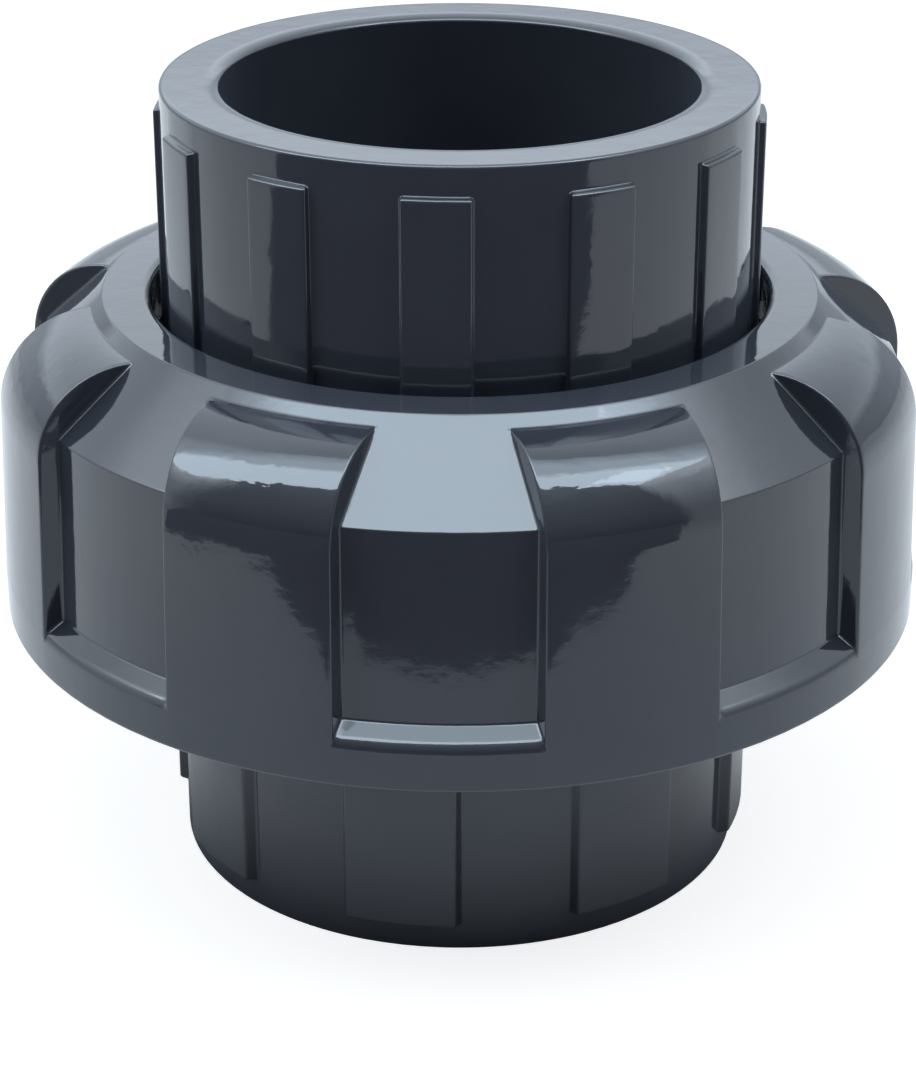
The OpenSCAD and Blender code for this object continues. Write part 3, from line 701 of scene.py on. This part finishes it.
def floor_material():
    """White floor. For the camera an even glow is added to its lit white, which keeps the shadow soft. The
    gloss sees a glow in its place instead, with a painted shadow round the part's foot and painted light to
    the sides."""
    material = emission_material("floor_white", (1.0, 1.0, 1.0))
    nodes, links = material.node_tree.nodes, material.node_tree.links
    path = nodes.new("ShaderNodeLightPath")
    where = nodes.new("ShaderNodeTexCoord").outputs["Object"]
    x, y, _ = add_split(nodes, links, where)
    sideways = add_maths(nodes, links, "ABSOLUTE", x)

    white = nodes.new("ShaderNodeBsdfDiffuse")
    white.inputs["Color"].default_value = (FLOOR_WHITE, FLOOR_WHITE, FLOOR_WHITE, 1.0)
    glow = nodes["Emission"]
    links.new(add_maths(nodes, links, "MULTIPLY", path.outputs["Is Camera Ray"], FLOOR_GLOW),
              glow.inputs["Strength"])
    seen = nodes.new("ShaderNodeAddShader")
    links.new(white.outputs["BSDF"], seen.inputs[0])
    links.new(glow.outputs["Emission"], seen.inputs[1])

    # Glow the gloss sees instead of the floor: painted shadow round the part's foot, painted light to the
    # sides
    glossy_glow = nodes.new("ShaderNodeEmission")
    beside = add_range(nodes, links, sideways, 0.0, 1.0, *FLOOR_SIDE_X)
    behind = add_range(nodes, links, y, 0.0, 1.0, *FLOOR_SIDE_Y)
    not_front = add_maths(nodes, links, "MAXIMUM", beside, behind)
    tint = add_mix(nodes, links, not_front, FLOOR_TINT, FLOOR_SIDE_TINT)
    # Painted shadow round the part's foot, and painted light further to the sides
    shade = add_curve(nodes, links, add_length(nodes, links, where), FLOOR_PAINTED_SHADOW)
    spread = add_curve(nodes, links, sideways, FLOOR_PAINTED_SIDE_LIGHT)
    links.new(tint, glossy_glow.inputs["Color"])
    links.new(add_maths(nodes, links, "MULTIPLY", shade, spread), glossy_glow.inputs["Strength"])

    by_ray = nodes.new("ShaderNodeMixShader")
    links.new(path.outputs["Is Glossy Ray"], by_ray.inputs["Fac"])
    links.new(seen.outputs["Shader"], by_ray.inputs[1])
    links.new(glossy_glow.outputs["Emission"], by_ray.inputs[2])
    links.new(by_ray.outputs["Shader"], nodes["Material Output"].inputs["Surface"])
    return material


def make_floor():
    """Large pale floor under the part."""
    corners = [(x * FLOOR_HALF, y * FLOOR_HALF, 0) for x, y in ((-1, -1), (1, -1), (1, 1), (-1, 1))]
    mesh = bpy.data.meshes.new("floor")
    mesh.from_pydata(corners, [], [(0, 1, 2, 3)])
    floor = bpy.data.objects.new("floor", mesh)
    bpy.context.scene.collection.objects.link(floor)
    floor.data.materials.append(floor_material())


def softbox_material():
    """Softbox glow: brightest along its front, dimmer towards the back."""
    material = emission_material("card_softbox", SOFTBOX_TINT)
    nodes, links = material.node_tree.nodes, material.node_tree.links
    x, y, _ = add_split(nodes, links, nodes.new("ShaderNodeTexCoord").outputs["Object"])
    sideways = add_maths(nodes, links, "ABSOLUTE", x)
    forward = add_maths(nodes, links, "MULTIPLY_ADD", sideways, SOFTBOX_SLANT, y)
    level = add_range(nodes, links, forward, SOFTBOX_FRONT, SOFTBOX_BACK, *SOFTBOX_EDGE)
    fade = add_range(nodes, links, y, 1.0, SOFTBOX_FADE_TO, *SOFTBOX_FADE_Y)
    links.new(add_maths(nodes, links, "MULTIPLY", level, fade), nodes["Emission"].inputs["Strength"])
    return material


def make_cards():
    """Dark card in front on the floor, the bright softbox above, and its brightest spot."""
    card("front_card", DARK_OUTLINE, DARK_Z, emission_material("card_dark", DARK_TINT, DARK_GLOW), True)
    card("softbox_card", SOFTBOX_OUTLINE, SOFTBOX_Z, softbox_material())
    card("spot_card", SPOT_OUTLINE, SPOT_Z, emission_material("card_spot", SOFTBOX_TINT, SOFTBOX_SPOT))


def make_lamps():
    """Soft overhead lamp that lights the part and the floor at a plain level."""
    lamp = bpy.data.lights.new("overhead", "AREA")
    lamp.shape = "RECTANGLE"
    lamp.size, lamp.size_y = LAMP_SIZE
    lamp.energy = LAMP_POWER
    lamp.color = LAMP_TINT
    overhead = bpy.data.objects.new("overhead", lamp)
    overhead.location = LAMP_PLACE
    bpy.context.scene.collection.objects.link(overhead)
    overhead.visible_glossy = False


def make_world():
    """Surroundings for the gloss alone: dark in front, pale beside and behind, brightest high up at the
    sides. The camera sees plain white, and nothing is lit by them."""
    world = bpy.data.worlds.new("studio")
    bpy.context.scene.world = world
    world.use_nodes = True
    nodes, links = world.node_tree.nodes, world.node_tree.links
    nodes.clear()
    output = nodes.new("ShaderNodeOutputWorld")
    back = nodes.new("ShaderNodeBackground")
    x, y, z = add_split(nodes, links, nodes.new("ShaderNodeTexCoord").outputs["Generated"])

    def maths(operation, *values):
        return add_maths(nodes, links, operation, *values)

    def blend(first, second, share):
        return maths("ADD", maths("MULTIPLY", first, maths("SUBTRACT", 1.0, share)),
                     maths("MULTIPLY", second, share))

    def ramp(value, points):
        return add_curve(nodes, links, value, points)

    to_degrees = 180 / math.pi
    azimuth = maths("MULTIPLY", maths("ARCTAN2", x, maths("MULTIPLY", y, -1.0)), to_degrees)
    elevation = maths("MULTIPLY", maths("ARCSINE", z), to_degrees)
    on_left = ramp(azimuth, LEFT_SHARES)
    left = maths("MULTIPLY", ramp(elevation, LEFT_LEVELS), on_left)
    right = maths("MULTIPLY", ramp(elevation, RIGHT_LEVELS), maths("SUBTRACT", 1.0, on_left))
    level = blend(maths("ADD", left, right), ramp(elevation, FRONT_LEVELS), ramp(azimuth, FRONT_SHARES))
    leftwards = maths("MULTIPLY_ADD", x, -BACK_LEFTWARDS, 1.0)
    behind = maths("MULTIPLY", ramp(elevation, BACK_LEVELS), leftwards)
    level = blend(level, behind, ramp(maths("ABSOLUTE", azimuth), BACK_SHARES))
    path = nodes.new("ShaderNodeLightPath")
    not_diffuse = maths("SUBTRACT", 1.0, path.outputs["Is Diffuse Ray"])
    links.new(maths("MULTIPLY", level, not_diffuse), back.inputs["Strength"])
    back.inputs["Color"].default_value = WORLD_TINT
    white = nodes.new("ShaderNodeBackground")
    white.inputs["Color"].default_value = (1.0, 1.0, 1.0, 1.0)
    seen = nodes.new("ShaderNodeMixShader")
    links.new(path.outputs["Is Camera Ray"], seen.inputs["Fac"])
    links.new(back.outputs["Background"], seen.inputs[1])
    links.new(white.outputs["Background"], seen.inputs[2])
    links.new(seen.outputs["Shader"], output.inputs["Surface"])


def make_camera():
    """Camera at the photograph's place and angle."""
    lens = bpy.data.cameras.new("camera")
    lens.lens = CAMERA_LENS
    lens.sensor_width = 36.0
    lens.shift_x = CAMERA_SHIFT_X
    lens.clip_start = 0.01
    camera = bpy.data.objects.new("camera", lens)
    camera.location = CAMERA_PLACE
    camera.rotation_euler = (math.radians(90 - CAMERA_DOWN_DEG), 0.0, 0.0)
    bpy.context.scene.collection.objects.link(camera)
    bpy.context.scene.camera = camera


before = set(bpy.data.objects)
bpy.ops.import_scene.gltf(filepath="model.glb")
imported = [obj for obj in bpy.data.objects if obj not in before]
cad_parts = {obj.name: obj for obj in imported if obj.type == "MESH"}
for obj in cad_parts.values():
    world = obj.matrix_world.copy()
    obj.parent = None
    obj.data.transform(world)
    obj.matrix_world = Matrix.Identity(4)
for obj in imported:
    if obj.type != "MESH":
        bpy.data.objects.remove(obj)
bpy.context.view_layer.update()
make_camera()
pvc = pvc_material()
rubber = rubber_material()
for node_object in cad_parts.values():
    node_object.data.materials.clear()
    node_object.data.materials.append(rubber if node_object.name == "o_ring" else pvc)
make_piece("threaded_body_form", threaded_body_grids(), "threaded_body", "base", pvc)
make_piece("end_connector_form", end_connector_grids(), "end_connector", "connector", pvc)
make_piece("union_nut_form", union_nut_grids(), "union_nut", "nut", pvc)
make_floor()
make_cards()
make_lamps()
make_world()
bpy.context.scene.view_settings.view_transform = "Standard"
